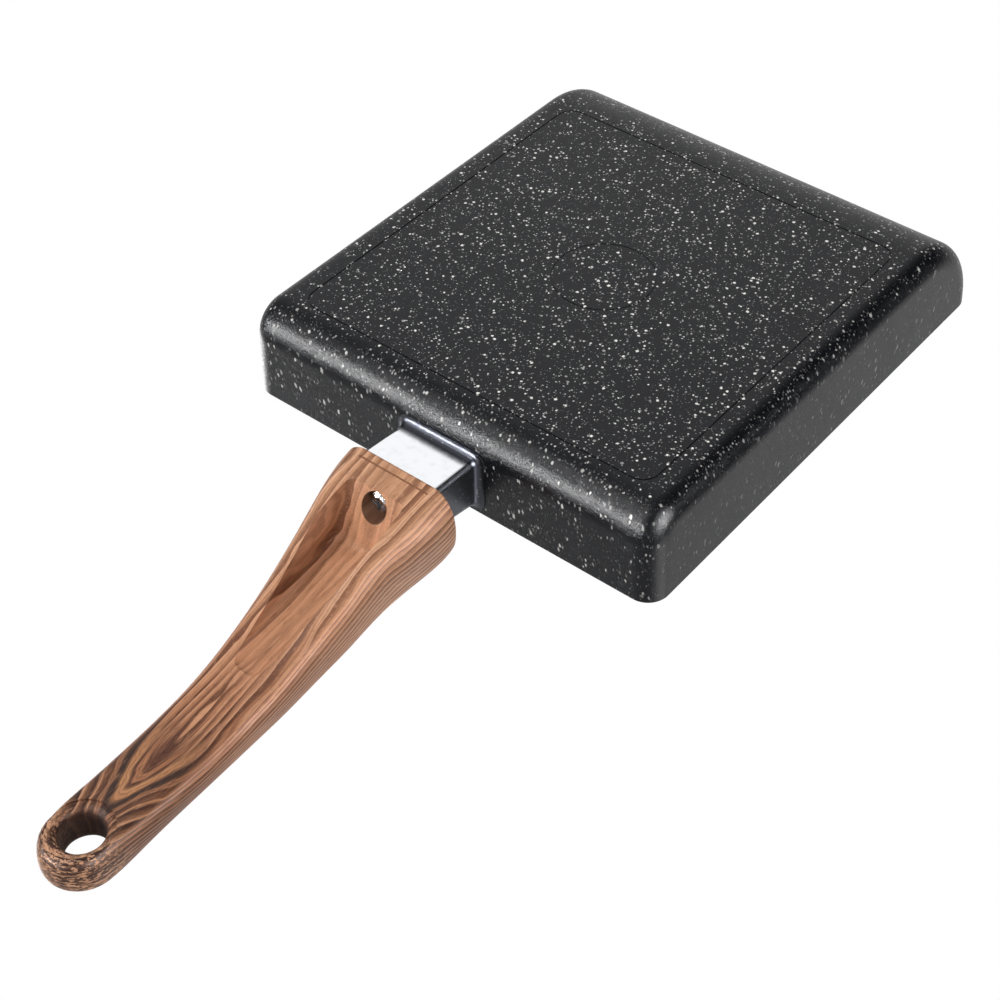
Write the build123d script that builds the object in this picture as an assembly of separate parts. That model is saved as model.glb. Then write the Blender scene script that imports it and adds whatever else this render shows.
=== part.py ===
from build123d import *
from math import cos, radians, sin, tan
import os

# A rectangular omelette pan with a moulded wood-look grip. It stands on its base on Z = 0.
# The origin lies on the base, below the middle of the rim. X is the width, +Y points at the
# far curved wall, and the handle runs along -Y.

# Pan shell
rim_width = 160.0
rim_depth = 182.7
pan_height = 33.6
side_lean = 2.0               # degrees, the two sides and the wall that carries the handle
far_lean = 2.0                # degrees, what is upright of the far wall
front_bend = 12.0             # radius between the base and the wall that carries the handle
far_bend = 31.0               # the far wall is nearly all this curve, for rolling an omelette out
side_bend = 7.4               # radius round the edge of each side, down its corners too
wall = 2.5
floor = 3.2
rim_edge = 0.6                # bevel of the rim's edges

# Lines in the underside of the base
line_front = 12.9             # from the rim to the border line, in plan
line_side = 12.4
line_far = 33.4
line_width = 0.45
line_depth = 0.3
line_corner = 6.0
ring_radius = 17.0
ring_width = 0.4
ring_depth = 0.2

# Handle fastening, along one screw axis
axis_height = 16.6
screw_radius = 2.5
stud_wall = 1.3
stud_length = 11.0
stud_foot_step = 0.3          # wider than the stud
stud_foot_height = 1.0
screw_length = 20.0           # below the head
thread_edge = 0.6             # bevel at the ends of the stud and the screw
head_radius = 4.2
head_height = 3.2
head_dome = 1.3               # fall of the domed head at its outer edge
head_flat = 2.7               # radius of the flat middle of the head
head_edge = 0.4               # bevel between the dome and the side of the head
cross_width = 1.1
cross_reach = 2.4             # half the span of the cross recess
cross_depth = 2.0
cross_taper = 7.0             # degrees
washer_radius = 4.1
washer_thickness = 1.0
washer_gap = 0.9              # width of the slit in the spring washer

# Polished sleeve between the wall and the grip
neck_length = 17.5            # from the rim of the front wall to the end of the grip
sleeve_metal = 0.8
sleeve_half = 14.7            # half width where it enters the grip
sleeve_height = 15.9
sleeve_low = 10.3             # height of its underside there
sleeve_foot_half = 14.4       # at the wall, without the flare
sleeve_foot_height = 18.2
sleeve_foot_low = 11.5
sleeve_corner = 2.2
sleeve_socket = 3.0           # how deep it sits in the grip
flare_reach = 2.5             # how far the foot of the sleeve spreads on the wall
flare_radius = 2.3            # its concave rounding
flare_edge = 0.25             # thickness at its outer edge

# Grip
grip_length = 144.8
grip_front_top = 36.5         # height of its upper side at the front
grip_rise = 20.7              # by how much the upper side climbs to the tail
grip_front_deep = 27.5        # thickness at the front
grip_half = 21.0              # half of the largest width
tail_radius = 11.8
tail_deep = 13.6
end_edge = 0.7                # bevel of the front end's edge
hang_ahead = 1.4              # the hole's centre lies this much nearer the pan than the tail's
hang_radius = 6.4
hang_edge = 3.2               # rounding of the hole's mouths, in short straight steps

# Hollow under the front of the grip, with the screw in its front slope
band_length = 8.4             # underside left standing in front of the hollow
slope_run = 9.6
hollow_floor_front = 29.4     # height of the roof of the hollow behind the slope
hollow_floor_back = 37.6
hollow_length = 62.0          # from the start of the slope
hollow_half_front = 10.6
hollow_half_wide = 10.9
hollow_half_back = 5.0
hollow_wide_share = 0.25      # of its length, to the widest place
hollow_corner = 4.0
hollow_round = 2.6            # rounding between its walls and its roof
recess_radius = 4.6           # counterbore for the screw head
recess_seat = 5.9             # from the front end of the grip to the seat of the washer

# Clearances and the one overrun for cuts
fit = 0.2                     # sleeve in its socket, screw in its holes
thread_fit = 0.05             # screw in the tapped stud
overrun = 2.0

front_y = -rim_depth / 2
grip_y = front_y - neck_length
tail_y = grip_y - grip_length + tail_radius
stretch = grip_y - tail_y

# Even stations of the grip, from its front end to the centre of the tail. A share is how far each
# size has gone there: the upper side from front to tail, the others from tail to front.
rise_shares = (0, 0.154, 0.315, 0.503, 0.648, 0.758, 0.824, 0.862, 0.882, 0.918, 1)
deep_shares = (1, 0.988, 0.907, 0.669, 0.43, 0.209, 0.058, -0.02, -0.068, -0.058, 0)
half_shares = (1.038, 0.91, 0.582, 0.414, 0.276, 0.186, 0.111, 0.077, 0.07, 0.065, 0)
# The flat below is a share of the half width. The widest line lies at a share of the thickness.
flat_shares = (0.62, 0.57, 0.55, 0.55, 0.54, 0.52, 0.51, 0.5, 0.52, 0.6, 0.72)
widest_shares = (0.58, 0.58, 0.58, 0.58, 0.58, 0.58, 0.57, 0.55, 0.52, 0.47, 0.43)
upper_pull_share = 0.8        # fullness of the upper corners
lower_pull_share = 0.58       # fullness of the lower corners
last_station = len(rise_shares) - 1
mouth_steps = 4               # straight steps in a mouth's round


def stand_in(z, lean, skin):
    """How far a leaning wall, or its inner face one skin thick, stands inside the rim at height z."""
    return (pan_height - z) * tan(radians(lean)) + skin / cos(radians(lean))


def pan_form(skin, low, top):
    """The outside of the pan (skin 0) or its inside: a side profile with drafted sides."""
    profile = make_face(
        Polyline(
            (front_y + stand_in(top, side_lean, skin), top),
            (front_y + stand_in(low, side_lean, skin), low),
            (-front_y - stand_in(low, far_lean, skin), low),
            (-front_y - stand_in(top, far_lean, skin), top),
            close=True,
        )
    )
    near, far = profile.vertices().group_by(Axis.Y)[0].sort_by(Axis.X)
    profile = fillet(near, front_bend - skin)
    far = profile.vertices().group_by(Axis.Y)[0].sort_by(Axis.X)[-1]
    profile = fillet(far, far_bend - skin)
    half_top = rim_width / 2 - stand_in(top, side_lean, skin)
    half_low = rim_width / 2 - stand_in(low, side_lean, skin)
    front = make_face(
        Polyline((-half_top, top), (-half_low, low), (half_low, low), (half_top, top), close=True)
    )
    form = extrude(Plane.YZ * profile, rim_width, both=True)
    form &= extrude(Plane.XZ * front, rim_depth, both=True)
    for last in (0, -1):
        side = form.faces().sort_by(Axis.X)[last]
        form = fillet(side.edges().sort_by(Axis.Z)[:-1], side_bend - skin)
    return form


def base_lines():
    """Cutters for the border line and the ring in the base."""
    width = rim_width - 2 * line_side
    depth = rim_depth - line_front - line_far
    middle = (line_front - line_far) / 2
    border = RectangleRounded(width, depth, line_corner)
    inner = line_corner - line_width
    border -= RectangleRounded(width - 2 * line_width, depth - 2 * line_width, inner)
    ring = Circle(ring_radius) - Circle(ring_radius - ring_width)
    below = Plane.XY.offset(-overrun)
    cut = extrude(below * Pos(0, middle) * border, overrun + line_depth)
    cut += extrude(below * Pos(0, middle) * ring, overrun + ring_depth)
    return cut


def pan_body():
    shell = pan_form(0, 0, pan_height) - pan_form(wall, floor, pan_height + overrun)
    rim = shell.faces().sort_by(Axis.Z)[-1]
    shell = chamfer(rim.edges(), rim_edge)
    return shell - base_lines()


def outer_block():
    """The pan without its hollow, to trim what stands on the front wall."""
    return pan_form(0, 0, pan_height)


def along(y, height=0.0):
    """A plane square to Y at the given place, with Z as its second axis."""
    return Plane(origin=(0, y, height), x_dir=(1, 0, 0), z_dir=(0, -1, 0))


def wall_y():
    """Where the screw axis meets the outside of the front wall."""
    return front_y + stand_in(axis_height, side_lean, 0)


def weld_stud():
    """A tapped stud on the front wall, inside the sleeve, with a wider foot."""
    start = along(wall_y() + wall, axis_height)
    stud_radius = screw_radius + stud_wall
    body = extrude(start * Circle(stud_radius), wall + stud_length)
    foot = extrude(start * Circle(stud_radius + stud_foot_step), wall + stud_foot_height)
    end = body.faces().sort_by(Axis.Y)[0]
    body = chamfer(end.edges(), thread_edge) + foot
    hole = extrude(start * Circle(screw_radius + thread_fit), wall + stud_length + overrun)
    return body - hole - outer_block()


def sleeve_section(y, spread):
    """A rounded rectangle across the sleeve, grown by spread. It tapers from the wall to the grip."""
    way = (y - grip_y) / neck_length
    half = sleeve_half + (sleeve_foot_half - sleeve_half) * way + spread
    height = sleeve_height + (sleeve_foot_height - sleeve_height) * way
    low = sleeve_low + (sleeve_foot_low - sleeve_low) * way
    outline = RectangleRounded(2 * half, height + 2 * spread, sleeve_corner + spread)
    return along(y, low + height / 2) * outline


def sleeve_tube(skin):
    """The outside of the sleeve (skin 0) or its inside, from its seat in the grip into the wall."""
    start = grip_y - sleeve_socket - (overrun if skin else 0)
    return loft([sleeve_section(y, -skin) for y in (start, front_y + overrun)], ruled=True)


def foot_plate():
    """What the foot of the sleeve covers, as a plate on the leaning wall."""
    lean = radians(side_lean)
    middle = sleeve_foot_low + sleeve_foot_height / 2
    place = (0, front_y + stand_in(middle, side_lean, 0), middle)
    on_wall = Plane(origin=place, x_dir=(1, 0, 0), z_dir=(0, -cos(lean), -sin(lean)))
    width = 2 * (sleeve_foot_half + flare_reach)
    height = sleeve_foot_height + 2 * flare_reach
    outline = RectangleRounded(width, height, sleeve_corner + flare_reach)
    return extrude(on_wall.offset(-overrun) * outline, overrun + flare_edge)


def flame_guard():
    guard = sleeve_tube(0) + foot_plate()
    ledge = guard.faces().filter_by(lambda face: len(face.inner_wires()) > 0).sort_by(Axis.Y)[0]
    guard = fillet(ledge.inner_wires()[0].edges(), flare_radius)
    return guard - sleeve_tube(sleeve_metal) - outer_block()


def grip_section(y, top, deep, half, flat_share, widest_share):
    """Full upper corners, a softer underside and a flat below, as one closed outline."""
    widest = top - widest_share * deep
    low = top - deep
    flat = flat_share * half
    upper = widest_share * deep * upper_pull_share
    lower = (1 - widest_share) * deep * lower_pull_share
    spread = (half - flat) * lower_pull_share
    crown = half * upper_pull_share
    outline = []
    for side in (1, -1):
        edge = (side * half, widest)
        outline.append(Bezier((0, top), (side * crown, top), (side * half, widest + upper), edge))
        outline.append(
            Bezier(edge, (side * half, widest - lower), (side * (flat + spread), low), (side * flat, low))
        )
    outline.append(Line((-flat, low), (flat, low)))
    return along(y) * make_face(outline)


def grip_sizes(k):
    """Place, upper side, thickness and half width at station k."""
    y = grip_y - stretch * k / last_station
    top = grip_front_top + grip_rise * rise_shares[k]
    deep = tail_deep + (grip_front_deep - tail_deep) * deep_shares[k]
    half = tail_radius + (grip_half - tail_radius) * half_shares[k]
    return y, top, deep, half


def grip_blank():
    """The lofted grip, drawn longer at the front, with a round tail."""
    y, top, deep, half = grip_sizes(0)
    ahead = stretch / last_station
    first = (top, deep, half, flat_shares[0], widest_shares[0])
    sections = [grip_section(y + ahead, *first), grip_section(y, *first)]
    for k in range(1, len(rise_shares)):
        y, top, deep, half = grip_sizes(k)
        sections.append(grip_section(y, top, deep, half, flat_shares[k], widest_shares[k]))
    blank = loft(sections)
    tail = sections[-1] - along(y) * Pos(-half, top) * Rectangle(2 * half, 2 * deep + overrun)
    blank += revolve(tail, Axis((0, y, 0), (0, 0, 1)), -180)
    return blank


def hollow():
    """Cutter for the hollow: its side profile and its plan, crossed."""
    start = grip_y - band_length
    back = start - slope_run
    end = start - hollow_length
    low = grip_front_top - grip_front_deep - overrun
    profile = make_face(
        Polyline(
            (start, low), (start, low + overrun), (back, hollow_floor_front),
            (end, hollow_floor_back), (end, low), close=True,
        )
    )
    knee = profile.vertices().sort_by_distance((back, hollow_floor_front, 0))[0]
    profile = fillet(knee, hollow_corner)
    width = 2 * (hollow_half_wide + overrun)
    across = Plane(origin=(-width / 2, 0, 0), x_dir=(0, 1, 0), z_dir=(1, 0, 0))
    wide = start - hollow_length * hollow_wide_share
    plan = make_face(
        Polyline(
            (hollow_half_front, start), (hollow_half_wide, wide), (hollow_half_back, end),
            (-hollow_half_back, end), (-hollow_half_wide, wide), (-hollow_half_front, start), close=True,
        )
    )
    plan = fillet(plan.vertices(), hollow_corner)
    column = extrude(Plane.XY.offset(low) * plan, hollow_floor_back - low + overrun)
    block = extrude(across * profile, width) & column
    upright = block.edges().filter_by(Axis.Z)
    roof = [edge for edge in block.edges() - upright if edge.center().Z > low + overrun]
    return fillet(roof, hollow_round)


def screw_way():
    """Cutter for the counterbore of the head and the hole of the shank."""
    seat = grip_y - recess_seat
    bore = extrude(along(seat, axis_height) * Circle(recess_radius), slope_run)
    hole = extrude(along(grip_y, axis_height) * Circle(screw_radius + fit), recess_seat + overrun)
    return bore + hole


def socket():
    """Cutter for the seat of the sleeve in the front end."""
    ends = (grip_y - sleeve_socket - fit, grip_y + 2 * overrun)
    return loft([sleeve_section(y, fit) for y in ends], ruled=True)


def mouth_round(height, way):
    """Points of a quarter round at one mouth of the hanging hole, from the hole outwards."""
    points = []
    for step in range(mouth_steps + 1):
        turn = radians(90 * step / mouth_steps)
        points.append((hang_radius + hang_edge * (1 - cos(turn)), height - way * hang_edge * (1 - sin(turn))))
    return points


def hang_hole():
    """Cutter for the hole in the tail, which widens in a round at both ends."""
    top = grip_front_top + grip_rise
    low = top - tail_deep
    mouth = hang_radius + hang_edge
    outline = [(0, top + overrun), (0, low - overrun), (mouth, low - overrun)]
    outline += reversed(mouth_round(low, -1))
    outline += mouth_round(top, 1)
    outline.append((mouth, top + overrun))
    profile = make_face(Polyline(*outline, close=True))
    return Pos(0, tail_y + hang_ahead) * revolve(Plane.XZ * profile, Axis.Z)


def handle_grip():
    grip = grip_blank()
    grip = split(grip, along(grip_y), keep=Keep.TOP)
    grip = chamfer(grip.faces().sort_by(Axis.Y)[-1].edges(), end_edge)
    return grip - hang_hole() - hollow() - socket() - screw_way()


def handle_screw():
    """Pan head with a cross recess, on a plain shank of the thread's outer size."""
    seat = grip_y - recess_seat - washer_thickness
    side = head_height - head_dome
    outline = Polyline(
        (0, 0), (head_radius, 0), (head_radius, side), (head_radius - head_edge, side + head_edge),
        (head_flat, head_height), (0, head_height), close=True,
    )
    head = along(seat, axis_height) * revolve(Plane.XZ * make_face(outline), Axis.Z)
    face = along(seat - head_height, axis_height)
    for bar in (Rectangle(2 * cross_reach, cross_width), Rectangle(cross_width, 2 * cross_reach)):
        head -= extrude(face * bar, -cross_depth, taper=cross_taper)
    shank = extrude(along(seat, axis_height) * Circle(screw_radius), -screw_length)
    tip = shank.faces().sort_by(Axis.Y)[-1]
    return head + chamfer(tip.edges(), thread_edge)


def lock_washer():
    """A split spring ring between the head and its seat."""
    seat = along(grip_y - recess_seat, axis_height)
    ring = Circle(washer_radius) - Circle(screw_radius + fit)
    ring -= Pos(0, washer_radius / 2) * Rectangle(washer_gap, 2 * washer_radius - 2 * screw_radius)
    return extrude(seat * ring, washer_thickness)


if __name__ == "__main__":
    os.makedirs("parts", exist_ok=True)
    for make in (pan_body, weld_stud, flame_guard, handle_grip, handle_screw, lock_washer):
        solid = make()
        print(make.__name__, solid.is_valid, round(solid.volume))
        export_step(solid, f"parts/{make.__name__}.step")
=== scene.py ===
# %% [markdown]
# # A small rectangular omelette pan, seen from below
# The photograph shows the pan turned over, with its base towards us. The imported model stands
# upright on its base, because that is how the pan is used and stored. So nothing is turned over
# here: the camera goes under the floor instead, looks up at the base and is rolled, and the picture
# comes out as the photograph does. Every other view sees the pan from above, standing on the floor.

import bpy
from mathutils import Matrix, Vector

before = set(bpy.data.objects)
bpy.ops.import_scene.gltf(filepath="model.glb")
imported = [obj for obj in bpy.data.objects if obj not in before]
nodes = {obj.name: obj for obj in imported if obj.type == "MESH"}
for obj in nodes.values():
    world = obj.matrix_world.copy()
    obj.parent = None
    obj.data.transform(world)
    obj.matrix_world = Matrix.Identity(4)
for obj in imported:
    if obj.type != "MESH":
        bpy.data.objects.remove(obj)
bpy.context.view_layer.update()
print("nodes:", ", ".join(sorted(nodes)))

# %% [markdown]
# ## The camera
# A camera is described by where its eye is and by three directions: right, up and forward. These
# came from fitting the pan's own outline to the photograph. Blender's camera looks along its own
# minus Z, so the forward direction is turned round when it becomes the third column of the matrix.

# %% Place the camera
EYE = Vector((-0.302874, -0.412295, -0.399993))
RIGHT = Vector((-0.79697, 0.60393, -0.01024))
UP = Vector((0.42837, 0.55317, -0.7145))
FORWARD = Vector((0.42584, 0.57382, 0.69956))
LENS = 72.4205
SENSOR = 36
SHIFT = (-0.11235, -0.01504)
NEAREST = 0.01

camera_data = bpy.data.cameras.new("camera")
camera_data.lens = LENS
camera_data.sensor_width = SENSOR
camera_data.shift_x, camera_data.shift_y = SHIFT
camera_data.clip_start = NEAREST
camera = bpy.data.objects.new("camera", camera_data)
bpy.context.collection.objects.link(camera)
turn = Matrix((RIGHT, UP, -FORWARD)).transposed().to_4x4()
camera.matrix_world = Matrix.Translation(EYE) @ turn
bpy.context.scene.camera = camera
bpy.context.scene.view_settings.view_transform = "Standard"
print("camera is", round(EYE.length * 1000), "mm from the pan's origin")

# %% [markdown]
# ## Helpers: nodes and colours
# A material is a tree of nodes, and short helpers keep the trees readable. The first one turns a
# colour as we read it off a screen into the linear numbers that the renderer works with. The others
# each add a node. Whatever they are given may be a fixed value or the output of another node.

# %% Helpers for nodes and colours
def paint(red, green, blue):
    """A colour in screen values from 0 to 255, made linear."""
    linear = []
    for value in (red, green, blue):
        share = value / 255
        linear.append(share / 12.92 if share <= 0.04045 else ((share + 0.055) / 1.055) ** 2.4)
    return (*linear, 1.0)


def feed(tree, socket, value):
    """Link another node's output to a socket, or set the socket to a fixed value."""
    if isinstance(value, bpy.types.NodeSocket):
        tree.links.new(value, socket)
    else:
        socket.default_value = value


def node(tree, kind, settings=None, **inputs):
    """Add a node with its settings and inputs. An input's name has _ in place of a space."""
    made = tree.nodes.new("ShaderNode" + kind)
    for name, value in (settings or {}).items():
        setattr(made, name, value)
    for name, value in inputs.items():
        feed(tree, made.inputs[name.replace("_", " ")], value)
    return made


def blend(tree, share, first, second):
    """The first colour at share 0, turning into the second at share 1."""
    made = tree.nodes.new("ShaderNodeMix")
    made.data_type = "RGBA"
    feed(tree, made.inputs["Factor"], share)
    feed(tree, made.inputs["A"], first)
    feed(tree, made.inputs["B"], second)
    return made.outputs["Result"]


def mix_shaders(tree, share, first, second):
    """The first shader at share 0, turning into the second at share 1."""
    made = tree.nodes.new("ShaderNodeMixShader")
    for socket, value in zip(made.inputs, (share, first, second)):
        feed(tree, socket, value)
    return made.outputs[0]


def ramp(tree, share, stops):
    """The colour at a share, from a list of stops, each a share and its colour."""
    made = tree.nodes.new("ShaderNodeValToRGB")
    feed(tree, made.inputs["Fac"], share)
    points = made.color_ramp.elements
    while len(points) < len(stops):
        points.new(0.5)
    for point, (place, colour) in zip(points, stops):
        point.position = place
        point.color = colour
    return made.outputs["Color"]


print("paint(255, 255, 255) is", paint(255, 255, 255))

# %% [markdown]
# ## Helpers: maths
# Patterns are worked out as numbers before they become colours. Two helpers do most of the work. A
# span turns one range of numbers into another with soft ends, and its low end may also be the
# larger number, so that it falls. A curve reads a height off a drawn line. The heights in a curve
# node stay between 0 and 1, so they are divided by a scale on the way in and multiplied by it on
# the way out.

# %% Helpers for maths
def maths(tree, operation, first, second=0.0, third=0.0):
    made = tree.nodes.new("ShaderNodeMath")
    made.operation = operation
    for socket, value in zip(made.inputs, (first, second, third)):
        feed(tree, socket, value)
    return made.outputs[0]


def plus(tree, first, second):
    return maths(tree, "ADD", first, second)


def minus(tree, first, second):
    return maths(tree, "SUBTRACT", first, second)


def times(tree, first, second):
    return maths(tree, "MULTIPLY", first, second)


def larger(tree, first, second):
    return maths(tree, "MAXIMUM", first, second)


def scaled(tree, value, factor, offset):
    """The value times the factor, plus the offset."""
    return maths(tree, "MULTIPLY_ADD", value, factor, offset)


def distance(tree, first, second):
    """How far a point lies from zero, by its two coordinates."""
    squares = plus(tree, times(tree, first, first), times(tree, second, second))
    return maths(tree, "SQRT", squares)


def span(tree, value, low, high, start=0.0, end=1.0, smooth=True):
    """Start up to low, end from high on, and between them a soft or an even change."""
    made = tree.nodes.new("ShaderNodeMapRange")
    made.interpolation_type = "SMOOTHSTEP" if smooth else "LINEAR"
    names = ("Value", "From Min", "From Max", "To Min", "To Max")
    for name, given in zip(names, (value, low, high, start, end)):
        feed(tree, made.inputs[name], given)
    return made.outputs["Result"]


def curve(tree, value, points, scale):
    """The height at a value from 0 to 1, from a list of points, each a value and its height."""
    made = node(tree, "FloatCurve", Value=value)
    line = made.mapping.curves[0]
    while len(line.points) < len(points):
        line.points.new(0.5, 0.5)
    for point, (at, height) in zip(line.points, points):
        point.location = (at, height / scale)
    made.mapping.update()
    return times(tree, made.outputs["Value"], scale)


def laid(tree, under, over, mask, strength):
    """A colour laid over another where the mask is 1, as strongly as the strength says."""
    return blend(tree, times(tree, mask, strength), under, over)


print("maths helpers are ready")

# %% [markdown]
# ## Helpers: places, noise and materials
# The patterns are solid: they fill space, and a surface shows what it cuts. A place is a point of
# the part in millimetres, so that every size below can be read as a length on the real pan.

# %% Helpers for places, noise and materials
def millimetres(tree):
    """The point that is being shaded, in the part's own axes."""
    place = node(tree, "TexCoord")
    made = node(tree, "Mapping", Vector=place.outputs["Object"], Scale=(1000, 1000, 1000))
    return made.outputs["Vector"]


def parts_of(tree, vector):
    made = node(tree, "SeparateXYZ", Vector=vector)
    return made.outputs["X"], made.outputs["Y"], made.outputs["Z"]


def joined(tree, x, y, z):
    return node(tree, "CombineXYZ", X=x, Y=y, Z=z).outputs["Vector"]


def facing_sideways(tree):
    """How much a face looks to the left or the right: 0 for not at all, 1 for fully."""
    across, _, _ = parts_of(tree, node(tree, "TexCoord").outputs["Normal"])
    return maths(tree, "ABSOLUTE", across)


def noise(tree, vector, scale, detail=2.0, roughness=0.5):
    """Cloudy noise from 0 to 1. The scale says how many clouds there are in a millimetre."""
    given = {"Vector": vector, "Scale": scale, "Detail": detail, "Roughness": roughness}
    return node(tree, "TexNoise", **given).outputs["Fac"]


def new_material(name, **shader_values):
    material = bpy.data.materials.new(name)
    material.use_nodes = True
    tree = material.node_tree
    shader = tree.nodes["Principled BSDF"]
    for socket, value in shader_values.items():
        feed(tree, shader.inputs[socket.replace("_", " ")], value)
    return material, tree, shader


print("material helpers are ready")

# %% [markdown]
# ## Effects that several finishes share
# A shader node group is like a function: it has named inputs and outputs, it is built once, and
# each material places it with its own values. Two effects are shared here. Handling marks are the
# soft cloudy change of gloss that fingers and cloths leave. A fine skin is the slight unevenness of
# sprayed, moulded and polished surfaces, which breaks up highlights. It has a fine grain and waves
# that are a dozen times larger.

# %% Build the shared groups
WAVES_TO_GRAIN = 12.0


def new_group(name, inputs, outputs):
    group = bpy.data.node_groups.new(name, "ShaderNodeTree")
    for label, kind, value in inputs:
        socket = group.interface.new_socket(
            label, in_out="INPUT", socket_type="NodeSocket" + kind
        )
        if value is not None:
            socket.default_value = value
    for label, kind in outputs:
        group.interface.new_socket(label, in_out="OUTPUT", socket_type="NodeSocket" + kind)
    start = group.nodes.new("NodeGroupInput")
    end = group.nodes.new("NodeGroupOutput")
    return group, start.outputs, end.inputs


handling_marks, marks_in, marks_out = new_group(
    "handling marks",
    [
        ("Vector", "Vector", None),
        ("Size", "Float", 20.0),
        ("Low", "Float", 0.2),
        ("High", "Float", 0.4),
    ],
    [("Roughness", "Float")],
)
cloud_scale = maths(handling_marks, "DIVIDE", 1.0, marks_in["Size"])
clouds = noise(handling_marks, marks_in["Vector"], cloud_scale, detail=4.0, roughness=0.6)
clouded = span(handling_marks, clouds, 0.3, 0.7, marks_in["Low"], marks_in["High"])
feed(handling_marks, marks_out["Roughness"], clouded)

fine_skin, skin_in, skin_out = new_group(
    "fine skin",
    [("Vector", "Vector", None), ("Size", "Float", 0.5), ("Waves", "Float", 0.3)],
    [("Height", "Float")],
)
grain_scale = maths(fine_skin, "DIVIDE", 1.0, skin_in["Size"])
wave_scale = maths(fine_skin, "DIVIDE", grain_scale, WAVES_TO_GRAIN)
small = noise(fine_skin, skin_in["Vector"], grain_scale, detail=2.0)
large = noise(fine_skin, skin_in["Vector"], wave_scale, detail=1.0)
feed(fine_skin, skin_out["Height"], scaled(fine_skin, large, skin_in["Waves"], small))
print("shared groups:", handling_marks.name, "and", fine_skin.name)

# %% [markdown]
# ## Placing a group in a material
# A placed group takes its values by name. The two shared effects always end in the same sockets, so
# each has a function of its own. Sizes are in millimetres, and the skin's bump is 0.2 mm deep.

# %% Place the groups
SKIN_DEPTH = 0.0002           # in metres, as the renderer measures


def place_group(tree, group, **inputs):
    made = tree.nodes.new("ShaderNodeGroup")
    made.node_tree = group
    for name, value in inputs.items():
        feed(tree, made.inputs[name.replace("_", " ")], value)
    return made.outputs


def marked_gloss(tree, place, size, low, high):
    """A roughness that drifts between low and high, in clouds of a size."""
    marks = place_group(tree, handling_marks, Vector=place, Size=size, Low=low, High=high)
    return marks["Roughness"]


def roughen(tree, shader, place, size, waves, strength):
    """Give a shader the fine skin."""
    skin = place_group(tree, fine_skin, Vector=place, Size=size, Waves=waves)
    bump = node(tree, "Bump", Strength=strength, Distance=SKIN_DEPTH, Height=skin["Height"])
    feed(tree, shader.inputs["Normal"], bump.outputs["Normal"])


print("the skin's bump is", SKIN_DEPTH * 1000, "mm deep")

# %% [markdown]
# ## Stone speckles
# The coating is full of round flecks. A Voronoi texture scatters one point in each of its cells. A
# fleck is everything nearer to that point than a radius of its own, with a ragged edge, and only a
# share of the cells has one. A slow noise crowds the flecks in some places and thins them in
# others, as a spray does. Each fleck also has a tone of its own.

# %% Build the fleck group
RAGGED_SCALE, CROWD_SCALE = 2.2, 0.16
EDGE_LEAST, EDGE_SPREAD = 0.4, 1.2            # how far the ragged edge wanders
RADIUS_LEAST, RADIUS_SPREAD = 0.7, 0.6        # a fleck's own share of the given radius
SMALL_ONES = 2.0                              # the higher, the more of the flecks are small
SOLID_SHARE = 0.65                            # of its radius, and the rest is its soft edge

flecks, flecks_in, flecks_out = new_group(
    "stone flecks",
    [
        ("Vector", "Vector", None),
        ("Cell", "Float", 3.0),
        ("Radius", "Float", 0.2),
        ("Share", "Float", 0.5),
    ],
    [("Mask", "Float"), ("Tone", "Float")],
)
spot = flecks_in["Vector"]
fleck_scale = maths(flecks, "DIVIDE", 1.0, flecks_in["Cell"])
scatter = node(flecks, "TexVoronoi", Vector=spot, Scale=fleck_scale, Randomness=1.0)
chance = node(flecks, "SeparateColor", Color=scatter.outputs["Color"])
ragged = noise(flecks, spot, RAGGED_SCALE, detail=1.0)
ragged = scaled(flecks, ragged, EDGE_SPREAD, EDGE_LEAST)
uneven = times(flecks, scatter.outputs["Distance"], ragged)
own_radius = maths(flecks, "POWER", chance.outputs["Red"], SMALL_ONES)
own_radius = scaled(flecks, own_radius, RADIUS_SPREAD, RADIUS_LEAST)
own_radius = times(flecks, own_radius, flecks_in["Radius"])
inside = span(flecks, uneven, own_radius, times(flecks, own_radius, SOLID_SHARE))
crowd = plus(flecks, noise(flecks, spot, CROWD_SCALE, detail=1.0), -0.5)
share_here = plus(flecks, flecks_in["Share"], crowd)
chosen = maths(flecks, "LESS_THAN", chance.outputs["Green"], share_here)
feed(flecks, flecks_out["Mask"], times(flecks, inside, chosen))
feed(flecks, flecks_out["Tone"], chance.outputs["Blue"])
print("flecks take", len(flecks.nodes), "nodes")

# %% [markdown]
# ## The coating
# The base and walls are one sprayed film: nearly black, with a satin gloss, and in it three sizes
# of fleck, from pale grey dust to cream stones. The pan is coated before it is pressed to shape, so
# its walls stretch, and the flecks there become long. To draw them so, the height is squeezed and
# slanted before the flecks read it, which leaves the flat base alone. The stretched film is also
# weaker: the flecks fade up the walls, and most of all on the two sides. A fine skin makes the
# highlight along the front edge sparkle.

# %% Make the coating
WALL_SLANT, WALL_SQUEEZE = 0.15, 0.50
WALL_FROM, WALL_TO = 3.0, 10.0                # the heights where the base turns into a wall
ON_SIDES = 0.30                               # what the two sides keep of the flecks' strength
GROUND_DARK, GROUND_PALE = paint(11, 12, 15), paint(17, 18, 22)
DUST_GREY = paint(160, 160, 160)
CHIP_GREY = paint(205, 205, 202)
STONE_CREAM = paint(236, 235, 230)

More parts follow.
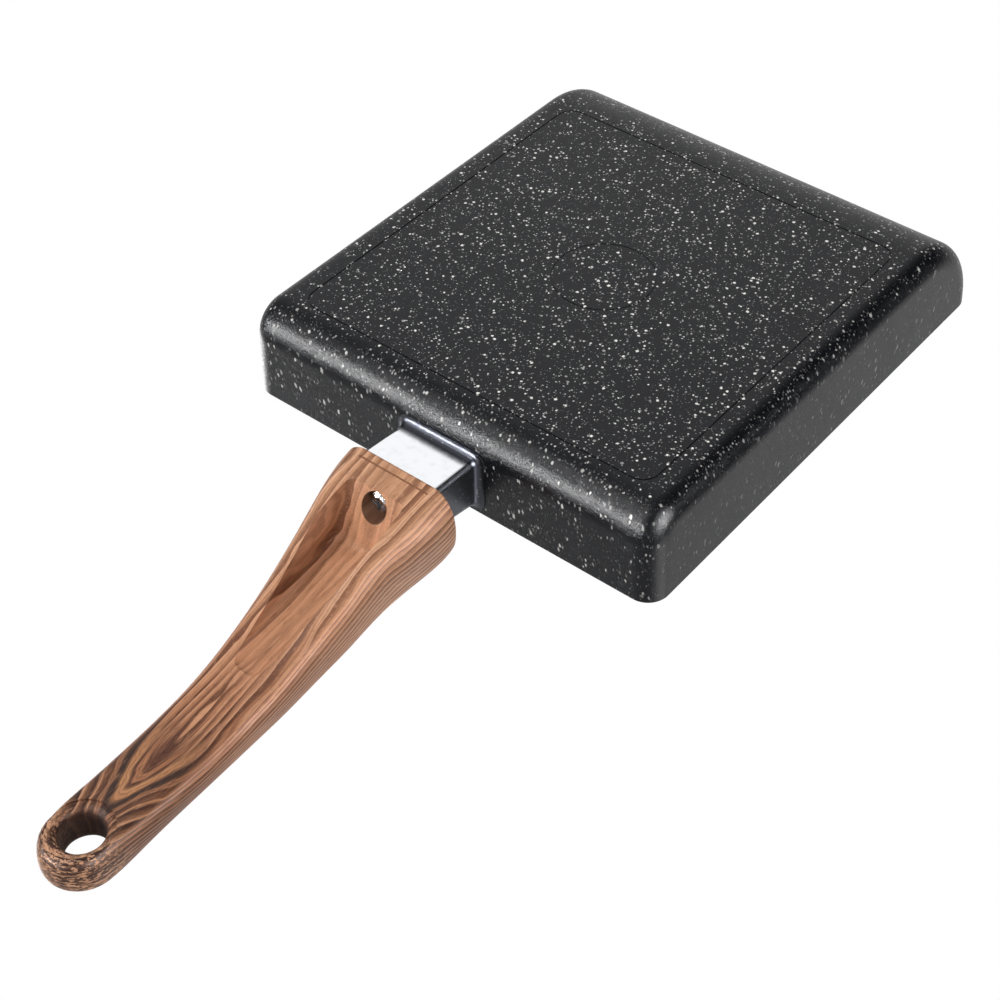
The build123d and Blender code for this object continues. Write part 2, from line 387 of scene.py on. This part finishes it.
coating, tree, shader = new_material("speckled coating", Specular_IOR_Level=0.18)
place = millimetres(tree)
x, y, z = parts_of(tree, place)
slant = times(tree, z, WALL_SLANT)
squeezed = times(tree, z, WALL_SQUEEZE)
pulled = joined(tree, plus(tree, x, slant), plus(tree, y, slant), squeezed)
dust = place_group(tree, flecks, Vector=pulled, Cell=0.80, Radius=0.31, Share=0.80)
chips = place_group(tree, flecks, Vector=pulled, Cell=1.20, Radius=0.29, Share=0.72)
stones = place_group(tree, flecks, Vector=pulled, Cell=2.0, Radius=0.24, Share=0.66)
up_wall = span(tree, z, WALL_FROM, WALL_TO)


def sprayed(film, kind, weight, colour, on_base, on_wall):
    """Flecks of one kind on the film. Their strength changes from the base to the wall."""
    strength = times(tree, weight, scaled(tree, up_wall, on_wall - on_base, on_base))
    return laid(tree, film, colour, kind["Mask"], strength)


dust_weight = maths(tree, "POWER", dust["Tone"], 2.0)
chip_weight = maths(tree, "POWER", chips["Tone"], 1.6)
stone_weight = scaled(tree, stones["Tone"], 0.7, 0.3)
ground = blend(tree, noise(tree, place, 0.05, detail=3.0), GROUND_DARK, GROUND_PALE)
film = sprayed(ground, dust, dust_weight, DUST_GREY, on_base=0.55, on_wall=0.30)
film = sprayed(film, chips, chip_weight, CHIP_GREY, on_base=0.85, on_wall=0.50)
film = sprayed(film, stones, stone_weight, STONE_CREAM, on_base=1.0, on_wall=0.75)
side_strength = span(tree, facing_sideways(tree), 0.6, 0.95, start=1.0, end=ON_SIDES)
feed(tree, shader.inputs["Base Color"], blend(tree, side_strength, ground, film))
feed(tree, shader.inputs["Roughness"], marked_gloss(tree, place, 26.0, low=0.20, high=0.27))
roughen(tree, shader, place, size=0.32, waves=0.15, strength=0.5)
print("coating has", len(tree.nodes), "nodes")

# %% [markdown]
# ## Bare metal
# The sleeve that shields the grip from the flame is polished steel, the screw is plated and the
# stud is plain aluminium. They are the same idea with other numbers, so one function makes all of
# them: a metallic shader with cloudy roughness, a faint stain and a fine skin. It also gives back
# its colour and its gloss, because the sleeve goes on from there.

# %% Make the metals
STAIN = 0.93                  # what a stain leaves of the metal's brightness


def bare_metal(name, colour, low, high, marks_size, skin_size, skin_strength):
    material, tree, shader = new_material(name, Metallic=1.0, Base_Color=colour)
    place = millimetres(tree)
    gloss = marked_gloss(tree, place, marks_size, low, high)
    feed(tree, shader.inputs["Roughness"], gloss)
    stained = span(tree, noise(tree, place, 0.35, detail=3.0), 0.45, 0.75)
    shade = tuple(channel * STAIN for channel in colour[:3]) + (1.0,)
    metal = blend(tree, stained, colour, shade)
    feed(tree, shader.inputs["Base Color"], metal)
    roughen(tree, shader, place, skin_size, waves=1.0, strength=skin_strength)
    return material, tree, shader, metal, gloss


screw_steel, *_ = bare_metal(
    "screw steel", paint(214, 214, 216), low=0.12, high=0.22,
    marks_size=3.0, skin_size=0.6, skin_strength=0.06,
)
washer_steel, *_ = bare_metal(
    "washer steel", paint(196, 197, 200), low=0.22, high=0.34,
    marks_size=3.0, skin_size=0.5, skin_strength=0.08,
)
stud_aluminium, *_ = bare_metal(
    "stud aluminium", paint(204, 206, 208), low=0.34, high=0.50,
    marks_size=6.0, skin_size=0.4, skin_strength=0.20,
)
print("metals:", screw_steel.name, washer_steel.name, stud_aluminium.name)

# %% [markdown]
# ## The sleeve
# The sleeve is bright above and below only. Its sides and its foot near the wall are painted dark
# grey with pale specks and made rougher, as a painted dark reflection of the dark surroundings and
# of the pan's wall. It covers the faces that look sideways and everything near the wall. The end
# that is glued into the grip keeps the glue's brown.

# %% Make the sleeve's steel
DARK_REFLECTION_FROM, DARK_REFLECTION_TO = -96.3, -92.9           # the soft edge of the painted dark reflection near the wall, along y
GLUE_FROM, GLUE_TO = -108.9, -109.4           # just inside the front end of the grip
PAINTED_REFLECTION_DARK, PAINTED_REFLECTION_SPECK = paint(66, 68, 74), paint(190, 190, 190)
GLUE_BROWN = paint(150, 104, 74)
PAINTED_REFLECTION_ROUGH, GLUE_ROUGH = 0.34, 0.6

polished_steel, tree, shader, metal, gloss = bare_metal(
    "polished steel", paint(228, 230, 233), low=0.08, high=0.16,
    marks_size=9.0, skin_size=1.2, skin_strength=0.04,
)
place = millimetres(tree)
_, y, _ = parts_of(tree, place)
sideways = span(tree, facing_sideways(tree), 0.25, 0.7)
wavy_y = scaled(tree, noise(tree, place, 0.5), 0.8, y)
# painted dark reflection: dark grey with pale specks on the sideways faces and near the wall
dark_reflection_mask = larger(tree, times(tree, sideways, 0.97), span(tree, wavy_y, DARK_REFLECTION_FROM, DARK_REFLECTION_TO))
speck = place_group(tree, flecks, Vector=place, Cell=1.2, Radius=0.26, Share=0.5)
painted_dark_reflection = laid(tree, PAINTED_REFLECTION_DARK, PAINTED_REFLECTION_SPECK, speck["Mask"], strength=0.3)
glued = span(tree, y, GLUE_FROM, GLUE_TO)
metal = blend(tree, glued, blend(tree, dark_reflection_mask, metal, painted_dark_reflection), GLUE_BROWN)
gloss = span(tree, dark_reflection_mask, 0.0, 1.0, start=gloss, end=PAINTED_REFLECTION_ROUGH)
feed(tree, shader.inputs["Base Color"], metal)
feed(tree, shader.inputs["Metallic"], span(tree, glued, 0.0, 1.0, start=1.0, end=0.0))
feed(tree, shader.inputs["Roughness"], larger(tree, gloss, times(tree, glued, GLUE_ROUGH)))
print("sleeve has", len(tree.nodes), "nodes")

# %% [markdown]
# ## The wood print: where a point lies
# The grip is moulded plastic with a printed wood film under satin lacquer. The film is wrapped
# round the grip, so the print needs two coordinates: the way along the grip, and the girth, which
# is the distance round it from the middle of the underside. Both are worked out from the grip's own
# sections, so that the lines of the print follow its curve and close up where it gets thin. The
# film bridges the hollow in the underside, so a point inside the hollow counts as if it lay flat.

# %% Where a point lies on the grip
GRIP_FRONT, TAIL_MIDDLE = -108.85, -241.85    # along y
LOWS = (9.0, 12.3, 16.8, 24.0, 30.3, 35.7, 39.2, 41.1, 42.1, 42.7, 43.6)
THICKNESSES = (27.5, 27.3, 26.2, 22.9, 19.6, 16.5, 14.4, 13.3, 12.7, 12.8, 13.6)
HALF_WIDTHS = (21.3, 20.2, 17.2, 15.6, 14.3, 13.5, 12.8, 12.5, 12.4, 12.4, 11.8)
ROUND_FRONT, ROUND_TAIL = 17.0, 12.0          # millimetres of girth in one radian round the grip
MIDDLE_TO, SIDE_FROM = 0.80, 0.93             # shares of the half width
ROOF_TO, TOP_FROM = 0.80, 0.95                # shares of the thickness, above the hollow's roof

wood, tree, shader = new_material("wood print", Specular_IOR_Level=0.16)
place = millimetres(tree)
x, y, z = parts_of(tree, place)
way = span(tree, y, GRIP_FRONT, TAIL_MIDDLE, smooth=False)


def along_grip(sizes, scale):
    """One of the grip's sizes at this place, from what it is at even stations."""
    last = len(sizes) - 1
    return curve(tree, way, [(k / last, size) for k, size in enumerate(sizes)], scale)


low = along_grip(LOWS, 50.0)
thick = along_grip(THICKNESSES, 30.0)
half = along_grip(HALF_WIDTHS, 25.0)
past_tail = maths(tree, "MINIMUM", minus(tree, y, TAIL_MIDDLE), 0.0)
out_share = maths(tree, "DIVIDE", distance(tree, x, past_tail), half)
depth_share = maths(tree, "DIVIDE", minus(tree, z, low), thick)
middle = span(tree, out_share, MIDDLE_TO, SIDE_FROM, start=1.0, end=0.0)
flattened = minus(tree, span(tree, depth_share, ROOF_TO, TOP_FROM), depth_share)
up_share = maths(tree, "MULTIPLY_ADD", middle, flattened, depth_share)
around = maths(tree, "ARCTAN2", out_share, scaled(tree, up_share, -2.0, 1.0))
radius = span(tree, way, 0.0, 1.0, ROUND_FRONT, ROUND_TAIL, smooth=False)
girth = times(tree, around, radius)
print("wood print has", len(tree.nodes), "nodes so far")

# %% [markdown]
# ## The wood print: growth rings
# The lines of a board are the tree's yearly rings, cut lengthwise. Each ring here starts with a
# dark line that fades out over half of its width, and has a pale edge just before the next one.
# Where the lines run at one girth they are straight. A value that grows towards the tail is added
# to the girth, and the lines close in front of it in nested points, which makes the flame figure
# near the tail. Noise stretched along the grip bends the lines.

# %% Growth rings
RING_WIDTH = 2.2
FINE_LINES = 3.7              # fine lines in a ring
DARK_FALL, DARK_RISE = (0.50, 0.12), (0.94, 1.0)       # in shares of a ring's width
PALE_RISE, PALE_FALL = (0.52, 0.78), (1.0, 0.93)
FINE_FALL, FINE_RISE = (0.55, 0.15), (0.88, 1.0)
POINT_ROUND = 1.2             # how bluntly the nested points end
FLAME_NONE = 8.0              # the height in the flame's curve that counts as nothing
FLAME_POINTS = [
    (0.0, 7.0), (0.55, 7.0), (0.66, 6.4), (0.73, 6.6), (0.798, 8.0),
    (0.855, 10.5), (0.906, 12.7), (0.956, 14.4), (1.0, 15.5),
]


def stretched(along, up):
    """The place, squeezed along the grip and in height, so that noise comes out stretched."""
    return joined(tree, x, times(tree, y, along), times(tree, z, up))


def sway(vector, scale, detail, reach):
    """Noise that swings evenly to both sides of zero, over a reach in millimetres."""
    return scaled(tree, noise(tree, vector, scale, detail), reach, -reach / 2)


board = stretched(0.05, 0.4)
bend = sway(board, 0.10, detail=2.0, reach=5.0)
bend = times(tree, bend, span(tree, way, 0.62, 0.8, start=1.0, end=0.35))
ripple = sway(stretched(0.12, 0.4), 0.35, detail=1.0, reach=1.6)
wander = plus(tree, bend, ripple)
flame = minus(tree, curve(tree, way, FLAME_POINTS, 20.0), FLAME_NONE)
to_side = maths(tree, "SQRT", maths(tree, "MULTIPLY_ADD", girth, girth, POINT_ROUND ** 2))
from_heart = plus(tree, plus(tree, to_side, flame), wander)
ring_count = maths(tree, "DIVIDE", from_heart, RING_WIDTH)
ring_number = maths(tree, "FLOOR", ring_count)
ring_noise = node(tree, "TexWhiteNoise", {"noise_dimensions": "1D"}, W=ring_number)
phase = maths(tree, "FRACT", ring_count)
dark_line = larger(tree, span(tree, phase, *DARK_FALL), span(tree, phase, *DARK_RISE))
pale_edge = times(tree, span(tree, phase, *PALE_RISE), span(tree, phase, *PALE_FALL))
fine = maths(tree, "FRACT", times(tree, ring_count, FINE_LINES))
fine_line = larger(tree, span(tree, fine, *FINE_FALL), span(tree, fine, *FINE_RISE))
print("rings are", RING_WIDTH, "mm apart")

# %% [markdown]
# ## The wood print: colours
# Three ramps give the body colour, the dark lines and the pale edges along the grip, from tan at
# the pan to dark brown at the tail. At the pan's end the middle of the board is plain and its sides
# are full of lines, and further back the lines cover all of it. A slow change of tone breaks up the
# areas between them. The grip's sides are also painted a little darker, as painted shade.

# %% Colours of the print
BODY_STOPS = [
    (0.0, paint(202, 152, 116)), (0.35, paint(188, 136, 102)), (0.62, paint(176, 122, 90)),
    (0.80, paint(132, 88, 64)), (1.0, paint(118, 80, 60)),
]
DARK_STOPS = [
    (0.0, paint(98, 54, 36)), (0.5, paint(84, 46, 32)),
    (0.8, paint(56, 33, 26)), (1.0, paint(46, 30, 26)),
]
LIGHT_STOPS = [
    (0.0, paint(226, 178, 146)), (0.5, paint(208, 158, 124)),
    (0.85, paint(188, 134, 98)), (1.0, paint(208, 158, 124)),
]

body = ramp(tree, way, BODY_STOPS)
dark = ramp(tree, way, DARK_STOPS)
light = ramp(tree, way, LIGHT_STOPS)
# painted shade: the grip's sides, away from the middle of the underside, are darkened a little
painted_side_shade = span(tree, girth, 8.0, 17.0)
lined = span(tree, girth, 3.0, 10.0, start=0.30, end=1.0)
lined = larger(tree, lined, span(tree, way, 0.42, 0.62))
bold = times(tree, lined, scaled(tree, ring_noise.outputs["Value"], 0.45, 0.55))
tone = noise(tree, board, 0.22, detail=2.0)
figure = blend(tree, span(tree, tone, 0.42, 0.70, start=0.0, end=0.40), body, dark)
figure = laid(tree, figure, dark, painted_side_shade, strength=0.20)
figure = laid(tree, figure, light, pale_edge, times(tree, lined, 0.70))
figure = laid(tree, figure, dark, dark_line, bold)
figure = laid(tree, figure, dark, fine_line, times(tree, lined, 0.32))
print("three ramps colour the rings along the grip")

# %% [markdown]
# ## The wood print: the flame
# Near the tail each nested point of the flame has a colour of its own, from the near-black outline
# to the golden band inside it. They are counted from the heart of the board outwards, so a fourth
# ramp reads the same distance as the rings do. Thin fibres run side by side with them.

# %% The flame near the tail
FLAME_LOW, FLAME_REACH = -4.0, 14.0           # where the ramp starts and how far it goes, in mm
FLAME_STOPS = [
    (0.0, paint(150, 100, 72)), (0.22, paint(138, 90, 64)), (0.31, paint(78, 48, 38)),
    (0.42, paint(86, 52, 40)), (0.46, paint(168, 116, 82)), (0.51, paint(160, 108, 78)),
    (0.54, paint(72, 44, 34)), (0.575, paint(80, 50, 38)), (0.60, paint(190, 138, 98)),
    (0.70, paint(174, 122, 84)), (0.735, paint(58, 42, 38)), (0.82, paint(54, 42, 38)),
    (0.86, paint(140, 96, 70)), (1.0, paint(112, 74, 54)),
]

flame_share = maths(tree, "DIVIDE", minus(tree, from_heart, FLAME_LOW), FLAME_REACH)
flame_colours = ramp(tree, flame_share, FLAME_STOPS)
flame_here = times(tree, span(tree, way, 0.66, 0.80), span(tree, way, 0.985, 0.95))
flame_here = times(tree, flame_here, span(tree, from_heart, 9.6, 7.6))
figure = laid(tree, figure, flame_colours, flame_here, strength=0.88)
fibre_count = scaled(tree, noise(tree, place, 0.5), 1.5, times(tree, from_heart, 1.25))
fibre = span(tree, maths(tree, "FRACT", fibre_count), 0.6, 0.2)
fibre = times(tree, fibre, span(tree, way, 0.60, 0.80))
figure = laid(tree, figure, dark, fibre, strength=0.38)
print("the flame has", len(FLAME_STOPS), "colour stops")

# %% [markdown]
# ## The wood print: grain and tail
# Wood is full of short pores, drawn here as noise stretched along the grip. Round the end of the
# tail the film was stretched over the curve, and the print broke up into crisp pale dashes between
# dark bands. They turn round the hole, so their noise reads the angle round it and the distance
# from its middle.

# %% Grain and tail
HOLE_MIDDLE = -240.45         # along y
TAIL_FROM, TAIL_TO = -229.0, -240.0           # where the broken print comes in

grain_place = joined(tree, x, times(tree, y, 0.07), z)
grain = noise(tree, grain_place, 1.5, detail=3.0, roughness=0.7)
figure = blend(tree, span(tree, grain, 0.52, 0.78, start=0.0, end=0.55), figure, dark)
figure = blend(tree, span(tree, grain, 0.48, 0.24, start=0.0, end=0.40), figure, light)
hole_y = minus(tree, y, HOLE_MIDDLE)
from_hole = distance(tree, x, hole_y)
turn_round = maths(tree, "ARCTAN2", x, hole_y)
dash_round, dash_out = times(tree, turn_round, 6.5), times(tree, from_hole, 1.5)
dash_place = joined(tree, dash_round, dash_out, times(tree, z, 1.6))
dashes = noise(tree, dash_place, 0.85, detail=3.0, roughness=0.8)
ragged_y = scaled(tree, noise(tree, place, 0.12), 8.0, y)
at_tail = span(tree, ragged_y, TAIL_FROM, TAIL_TO)
band_place = joined(tree, times(tree, turn_round, 1.2), from_hole, z)
bands = span(tree, noise(tree, band_place, 0.24, detail=1.0), 0.50, 0.60)
figure = laid(tree, figure, dark, bands, times(tree, at_tail, 0.75))
figure = laid(tree, figure, light, span(tree, dashes, 0.52, 0.58), times(tree, at_tail, 0.85))
figure = laid(tree, figure, dark, span(tree, dashes, 0.47, 0.40), times(tree, at_tail, 0.60))
print("wood print has", len(tree.nodes), "nodes so far")

# %% [markdown]
# ## The wood print: holes and lacquer
# The wall of the hanging hole is painted a near-black brown. The bore of the screw is painted dark
# brown, as painted shade in that deep recess by the screw. The lacquer has a satin gloss with
# handling marks, and is dull in the hole.

# %% Holes and lacquer
HOLE_OUTER, HOLE_INNER = 7.6, 6.6             # the soft edge of the hanging hole's wall
SCREW_HEIGHT = 16.6
BORE_OUTER, BORE_INNER = 4.75, 4.65           # the soft edge of the bore's wall
BORE_END, BORE_FADE = -130.0, -126.0          # where the bore ends and how it fades, along y
HOLE_BROWN, BORE_SHADE_BROWN = paint(34, 18, 13), paint(60, 34, 24)
HOLE_ROUGHER = 0.45

in_hole = span(tree, from_hole, HOLE_OUTER, HOLE_INNER)
figure = laid(tree, figure, HOLE_BROWN, in_hole, strength=0.92)
from_screw = distance(tree, x, minus(tree, z, SCREW_HEIGHT))
in_bore = span(tree, from_screw, BORE_OUTER, BORE_INNER)
in_bore = times(tree, in_bore, span(tree, y, BORE_END, BORE_FADE))
# painted shade: the bore's wall by the screw is darkened to a deep brown
figure = laid(tree, figure, BORE_SHADE_BROWN, in_bore, strength=0.80)
feed(tree, shader.inputs["Base Color"], figure)
lacquer = marked_gloss(tree, place, 18.0, low=0.34, high=0.46)
feed(tree, shader.inputs["Roughness"], scaled(tree, in_hole, HOLE_ROUGHER, lacquer))
roughen(tree, shader, grain_place, size=0.5, waves=0.4, strength=0.10)
print("wood print has", len(tree.nodes), "nodes")

# %% [markdown]
# ## Put the finishes on
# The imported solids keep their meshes. A material slot is all that changes.

# %% Dress the nodes
finishes = {
    "pan_body": coating,
    "weld_stud": stud_aluminium,
    "flame_guard": polished_steel,
    "handle_grip": wood,
    "handle_screw": screw_steel,
    "lock_washer": washer_steel,
}
for name, material in finishes.items():
    for slot in nodes[name].material_slots:
        slot.material = material
    print(name, "is", material.name)

# %% [markdown]
# ## The floor
# The pan stands on a pale floor, which is solid from above and clear from below. To a camera it
# also fades out round the pan, so that no horizon shows. A ray that has come up through the floor
# must not meet it again on its way back down, or the camera below would see the pan lit wrongly.
# The transparent depth of a ray counts the clear surfaces it has passed, and so tells whether it
# has.

# %% Floor
FLOOR_REACH, FLOOR_HEIGHT = 6.0, -0.0006      # metres
FADE_FROM, FADE_TO = 0.35, 1.1                # metres from the pan's origin

floor_mesh = bpy.data.meshes.new("floor")
corners = [
    (-FLOOR_REACH, -FLOOR_REACH, FLOOR_HEIGHT), (FLOOR_REACH, -FLOOR_REACH, FLOOR_HEIGHT),
    (FLOOR_REACH, FLOOR_REACH, FLOOR_HEIGHT), (-FLOOR_REACH, FLOOR_REACH, FLOOR_HEIGHT),
]
floor_mesh.from_pydata(corners, [], [(0, 1, 2, 3)])
floor = bpy.data.objects.new("floor", floor_mesh)
bpy.context.collection.objects.link(floor)
floor_finish, tree, shader = new_material(
    "pale floor", Base_Color=paint(245, 245, 245), Roughness=0.9, Specular_IOR_Level=0.1
)
path = node(tree, "LightPath")
from_camera = path.outputs["Is Camera Ray"]
facing = node(tree, "NewGeometry")
upper_face = minus(tree, 1.0, facing.outputs["Backfacing"])
far = node(tree, "VectorMath", {"operation": "LENGTH"}, Vector=facing.outputs["Position"])
faded = span(tree, far.outputs["Value"], FADE_FROM, FADE_TO, start=1.0, end=0.0)
to_camera = times(tree, from_camera, faded)
not_from_below = maths(tree, "LESS_THAN", path.outputs["Transparent Depth"], 0.5)
to_others = times(tree, minus(tree, 1.0, from_camera), not_from_below)
seen = times(tree, upper_face, plus(tree, to_camera, to_others))
clear = node(tree, "BsdfTransparent")
surface = mix_shaders(tree, seen, clear.outputs[0], shader.outputs[0])
feed(tree, tree.nodes["Material Output"].inputs["Surface"], surface)
floor_mesh.materials.append(floor_finish)
print("floor is", FLOOR_REACH * 2, "m wide")

# %% [markdown]
# ## The world as a photographer's tent
# The world is white to the camera and an even grey to soft light. Shiny things show what stands
# round them, so mirror rays see a tent of their own. Such a ray asks the world for its tone in one
# direction, and a panel in the tent is a patch of directions: everything within a small angle of
# its middle. A black card takes light away from the base, and the other panels add it where the
# photograph has its highlights. The front strip is a thin band at one height, for the line along
# the front edge.

# %% World
SOFT_GREY = 0.62
TENT_LOW, TENT_HIGH = 0.5, 0.7                # the tent's tone below and above
BLACK_CARD_LEAVES = 0.05
HORIZON_LOW, HORIZON_HIGH = -0.15, 0.12       # heights of a direction: -1 is down and 1 is up
STRIP_HEIGHT, STRIP_EDGE, STRIP_CORE = -0.20, 0.05, 0.02

world = bpy.data.worlds.new("studio")
bpy.context.scene.world = world
world.use_nodes = True
tree = world.node_tree
tree.nodes.clear()
path = node(tree, "LightPath")
direction = node(tree, "TexCoord").outputs["Generated"]
_, _, way_up = parts_of(tree, direction)


def panel(middle, outer, inner):
    """A patch round a direction. Outer and inner are cosines of the angles of its soft edge."""
    made = node(tree, "VectorMath", {"operation": "DOT_PRODUCT"})
    feed(tree, made.inputs[0], direction)
    feed(tree, made.inputs[1], Vector(middle).normalized())
    return span(tree, made.outputs["Value"], outer, inner)


def light_of(strength):
    return node(tree, "Background", Color=(1, 1, 1, 1), Strength=strength).outputs[0]


black_card = panel((-0.60, 0.65, -0.46), 0.50, 0.80)
under_neck = panel((0.43, 0.60, -0.66), 0.78, 0.92)
corner_card = panel((-0.93, -0.05, -0.35), 0.90, 0.97)
wall_card = panel((-0.43, 0.56, 0.71), 0.78, 0.94)
off_strip = maths(tree, "ABSOLUTE", minus(tree, way_up, STRIP_HEIGHT))
front_strip = panel((0.45, -0.87, -0.20), 0.86, 0.95)
front_strip = times(tree, front_strip, span(tree, off_strip, STRIP_EDGE, STRIP_CORE))
tent = span(tree, way_up, HORIZON_LOW, HORIZON_HIGH, TENT_LOW, TENT_HIGH)
tent = times(tree, tent, span(tree, black_card, 0.0, 1.0, start=1.0, end=BLACK_CARD_LEAVES))
cards = (under_neck, 0.70), (corner_card, 34.0), (wall_card, 0.15), (front_strip, 140.0)
for card, brightness in cards:
    tent = scaled(tree, card, brightness, tent)

looked_at = larger(tree, path.outputs["Is Camera Ray"], path.outputs["Is Transmission Ray"])
glossy = path.outputs["Is Glossy Ray"]
lighting = mix_shaders(tree, glossy, light_of(SOFT_GREY), light_of(tent))
output = node(tree, "OutputWorld")
feed(tree, output.inputs["Surface"], mix_shaders(tree, looked_at, lighting, light_of(1.0)))
print("tent has", len(cards), "bright panels, and the world", len(tree.nodes), "nodes")

# %% [markdown]
# ## Lamps
# One soft lamp below the floor lights the base for the main camera. Two above it light the inside
# of the pan for every other view. The camera doesn't see them. Their sizes are in metres.

# %% Lamps
def softbox(name, place, target, size, power):
    data = bpy.data.lights.new(name, "AREA")
    data.size = size
    data.energy = power
    lamp = bpy.data.objects.new(name, data)
    lamp.location = place
    towards = Vector(target) - Vector(place)
    lamp.rotation_euler = towards.to_track_quat("-Z", "Z").to_euler()
    lamp.visible_camera = False
    bpy.context.collection.objects.link(lamp)
    print(name, "at", place, power, "W")


softbox("key below", place=(0.35, -0.80, -0.95), target=(0, -0.1, 0.02), size=0.6, power=9)
softbox("key above", place=(1.0, 0.0, 1.1), target=(0, 0, 0), size=0.7, power=7)
softbox("fill above", place=(-0.9, 0.0, 1.0), target=(0, 0, 0), size=0.8, power=5)
